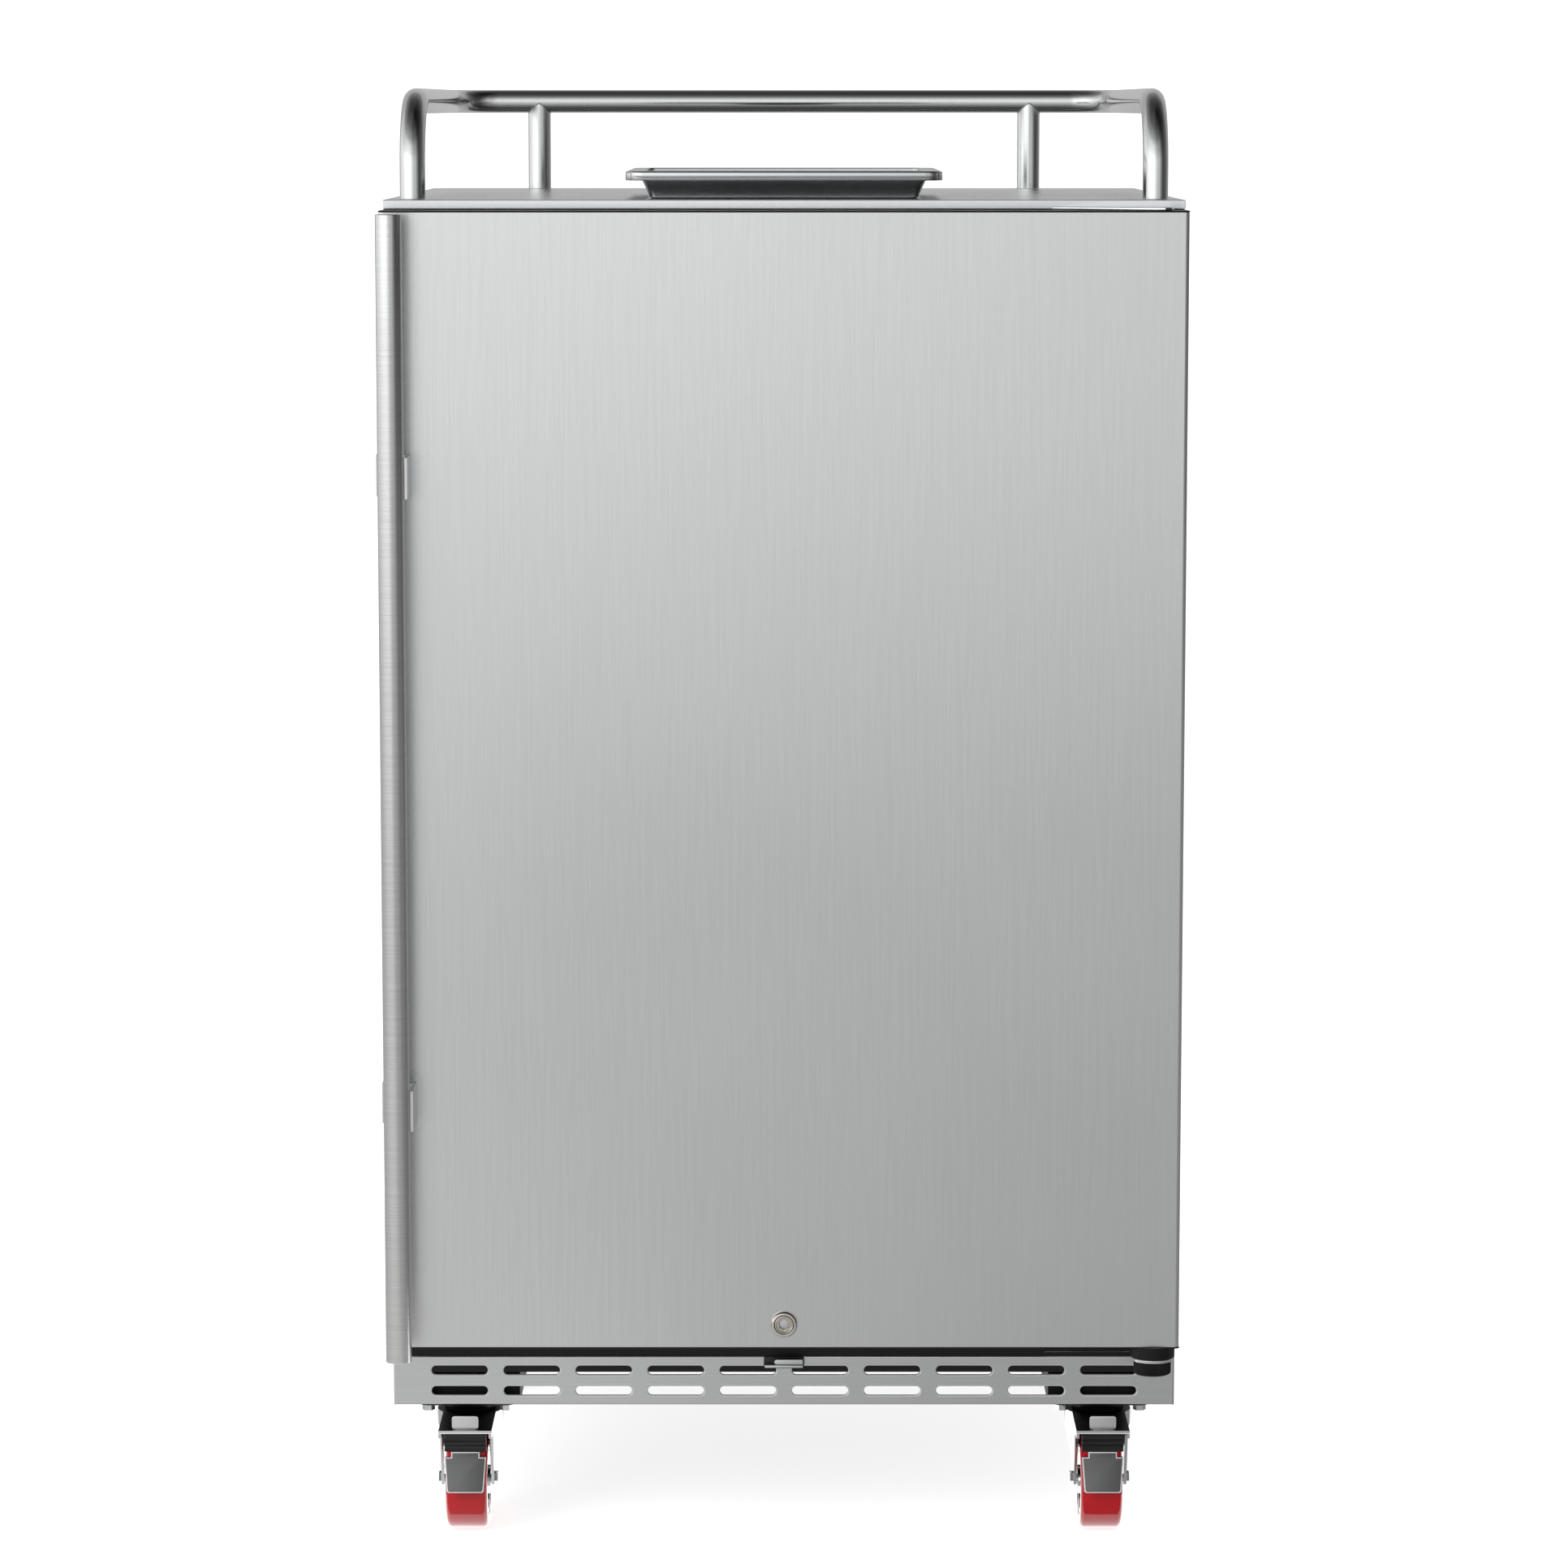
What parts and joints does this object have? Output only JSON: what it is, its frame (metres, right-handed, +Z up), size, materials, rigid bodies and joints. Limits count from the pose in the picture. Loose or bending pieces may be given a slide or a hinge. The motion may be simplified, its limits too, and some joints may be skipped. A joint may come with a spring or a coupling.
{
  "type": "keg refrigerator",
  "caption": "Undercounter refrigerator for a beer keg with a hinged door, tube handle, slotted kick grille, guard rail, drip tray and braked swivel casters.",
  "frame": {"origin": "on the floor under the centre of the bounding box", "axes": "+X to the right seen from the front, +Y from the door to the back, +Z up"},
  "size_m": [0.6035, 0.6684, 1.1092],
  "materials": {
    "brushed_stainless": "brushed stainless steel, straight grain",
    "hinge_chrome": "polished plated steel",
    "zinc_steel": "zinc plated sheet",
    "lock_nickel": "warm nickel plate",
    "black_steel": "black satin coat",
    "black_plastic": "moulded, fine grain",
    "grey_plastic": "moulded, satin",
    "white_plastic": "vacuum formed sheet",
    "foam": "expanded polyurethane foam",
    "rubber": "matt",
    "gasket": "soft grey vinyl",
    "red_tread": "cast polyurethane",
    "fin_aluminium": "pressed fins"
  },
  "bodies": {
    "cabinet": {"side_panel_left": "brushed_stainless", "side_panel_right": "brushed_stainless", "back_panel": "zinc_steel", "top_panel": "brushed_stainless", "base_pan": "zinc_steel", "front_frame": "black_steel", "insulation": "foam", "inner_liner": "white_plastic", "keg_platform": "zinc_steel", "evaporator_cover": "white_plastic", "thermostat_housing": "grey_plastic", "compressor": "black_steel", "condenser": "fin_aluminium", "machine_cover": "zinc_steel", "gas_line_grommet": "rubber", "tower_hole_cap": "black_plastic", "power_inlet": "black_plastic", "kick_grille": "brushed_stainless", "lock_keeper": "zinc_steel", "upper_hinge_bracket": "hinge_chrome", "lower_hinge_bracket": "hinge_chrome", "hinge_cap": "black_plastic", "guard_rail": "brushed_stainless", "caster_bracket_front_left": "black_steel", "caster_bracket_front_right": "black_steel", "caster_bracket_rear_left": "black_steel", "caster_bracket_rear_right": "black_steel", "caster_plate_front_left": "zinc_steel", "caster_plate_front_right": "zinc_steel", "caster_plate_rear_left": "zinc_steel", "caster_plate_rear_right": "zinc_steel"},
    "door": {"door_skin": "brushed_stainless", "door_core": "foam", "door_liner": "white_plastic", "door_gasket": "gasket", "door_end_cap_top": "black_plastic", "door_end_cap_bottom": "black_plastic", "handle_tube": "brushed_stainless", "handle_bracket_upper": "brushed_stainless", "handle_bracket_lower": "brushed_stainless", "lock_barrel": "lock_nickel"},
    "lock_plug": {"lock_plug": "lock_nickel"},
    "fan": {"evaporator_fan": "black_plastic"},
    "thermostat_knob": {"thermostat_knob": "black_plastic"},
    "tray": {"drip_tray": "brushed_stainless"},
    "grate": {"drip_grate": "brushed_stainless"},
    "swivel_front_left": {"caster_fork_front_left": "zinc_steel"},
    "wheel_front_left": {"wheel_front_left_hub": "grey_plastic", "wheel_front_left_tread": "red_tread"},
    "pedal_front_left": {"brake_pedal_front_left": "black_steel"},
    "swivel_front_right": {"caster_fork_front_right": "zinc_steel"},
    "wheel_front_right": {"wheel_front_right_hub": "grey_plastic", "wheel_front_right_tread": "red_tread"},
    "pedal_front_right": {"brake_pedal_front_right": "black_steel"},
    "swivel_rear_left": {"caster_fork_rear_left": "zinc_steel"},
    "wheel_rear_left": {"wheel_rear_left_hub": "grey_plastic", "wheel_rear_left_tread": "red_tread"},
    "swivel_rear_right": {"caster_fork_rear_right": "zinc_steel"},
    "wheel_rear_right": {"wheel_rear_right_hub": "grey_plastic", "wheel_rear_right_tread": "red_tread"}
  },
  "joints": [
    {"name": "door_hinge", "type": "hinge", "parent": "cabinet", "child": "door", "pos_m": [0.2807, -0.27468, 0.6], "axis": [0, 0, 1], "range_deg": [0, 110]},
    {"name": "lock_turn", "type": "hinge", "parent": "door", "child": "lock_plug", "pos_m": [0, -0.265, 0.1786], "axis": [0, -1, 0], "range_deg": [0, 90]},
    {"name": "fan_spin", "type": "hinge", "parent": "cabinet", "child": "fan", "pos_m": [0, 0.2695, 0.7915], "axis": [0, 1, 0], "continuous": true},
    {"name": "thermostat_turn", "type": "hinge", "parent": "cabinet", "child": "thermostat_knob", "pos_m": [0.15, -0.1795, 0.9422], "axis": [0, -1, 0], "range_deg": [0, 270]},
    {"name": "tray_lift", "type": "slide", "parent": "cabinet", "child": "tray", "axis": [0, 0, 1], "range_m": [0, 0.08]},
    {"name": "grate_lift", "type": "slide", "parent": "tray", "child": "grate", "axis": [0, 0, 1], "range_m": [0, 0.04]},
    {"name": "swivel_turn_front_left", "type": "hinge", "parent": "cabinet", "child": "swivel_front_left", "pos_m": [-0.245, -0.17918, 0.0857], "axis": [0, 0, 1], "continuous": true},
    {"name": "wheel_spin_front_left", "type": "hinge", "parent": "swivel_front_left", "child": "wheel_front_left", "pos_m": [-0.245, -0.20917, 0.03732], "axis": [1, 0, 0], "continuous": true},
    {"name": "pedal_press_front_left", "type": "hinge", "parent": "swivel_front_left", "child": "pedal_front_left", "pos_m": [-0.245, -0.24943, 0.0858], "axis": [1, 0, 0], "range_deg": [0, 4]},
    {"name": "swivel_turn_front_right", "type": "hinge", "parent": "cabinet", "child": "swivel_front_right", "pos_m": [0.245, -0.17918, 0.0857], "axis": [0, 0, 1], "continuous": true},
    {"name": "wheel_spin_front_right", "type": "hinge", "parent": "swivel_front_right", "child": "wheel_front_right", "pos_m": [0.245, -0.20917, 0.03732], "axis": [1, 0, 0], "continuous": true},
    {"name": "pedal_press_front_right", "type": "hinge", "parent": "swivel_front_right", "child": "pedal_front_right", "pos_m": [0.245, -0.24943, 0.0858], "axis": [1, 0, 0], "range_deg": [0, 4]},
    {"name": "swivel_turn_rear_left", "type": "hinge", "parent": "cabinet", "child": "swivel_rear_left", "pos_m": [-0.245, 0.26782, 0.0857], "axis": [0, 0, 1], "continuous": true},
    {"name": "wheel_spin_rear_left", "type": "hinge", "parent": "swivel_rear_left", "child": "wheel_rear_left", "pos_m": [-0.245, 0.23783, 0.03732], "axis": [1, 0, 0], "continuous": true},
    {"name": "swivel_turn_rear_right", "type": "hinge", "parent": "cabinet", "child": "swivel_rear_right", "pos_m": [0.245, 0.26782, 0.0857], "axis": [0, 0, 1], "continuous": true},
    {"name": "wheel_spin_rear_right", "type": "hinge", "parent": "swivel_rear_right", "child": "wheel_rear_right", "pos_m": [0.245, 0.23783, 0.03732], "axis": [1, 0, 0], "continuous": true}
  ]
}
